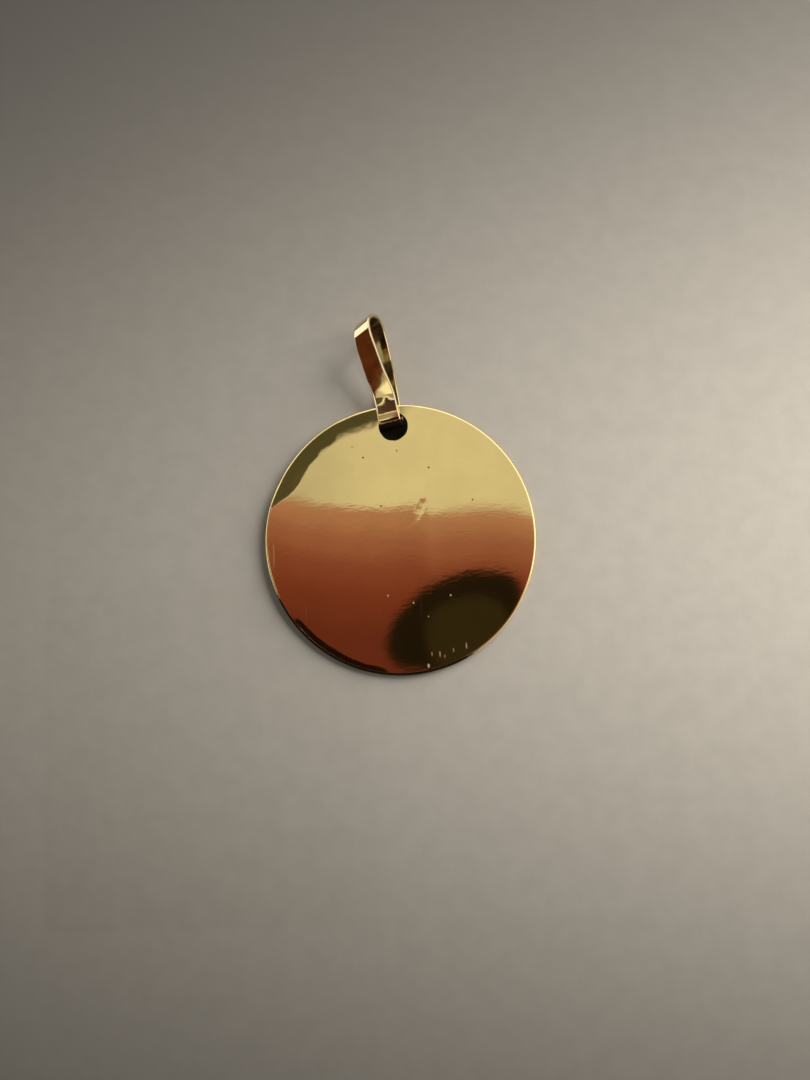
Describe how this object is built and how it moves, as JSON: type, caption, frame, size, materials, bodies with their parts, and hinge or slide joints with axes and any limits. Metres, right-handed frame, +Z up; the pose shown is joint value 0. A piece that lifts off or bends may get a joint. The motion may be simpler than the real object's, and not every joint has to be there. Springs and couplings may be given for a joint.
{
  "type": "disc pendant",
  "caption": "Flat round polished gold disc with a drilled hole near its rim and a folded flat-strip bail closed through the hole, lying as put down.",
  "frame": {"origin": "On the surface that the pendant lies on, under the middle of its bounding box.", "axes": "+Y from the disc's centre towards the hole and the bail, +Z up from the surface, +X to the right as seen from above"},
  "size_m": [0.018, 0.024, 0.0031],
  "materials": {
    "disc_gold": "yellow gold, mirror polished, with fine wear",
    "bail_gold": "yellow gold, polished, slightly duller inside the loop"
  },
  "bodies": {
    "root": {"disc": "disc_gold", "bail": "bail_gold"}
  },
  "joints": []
}
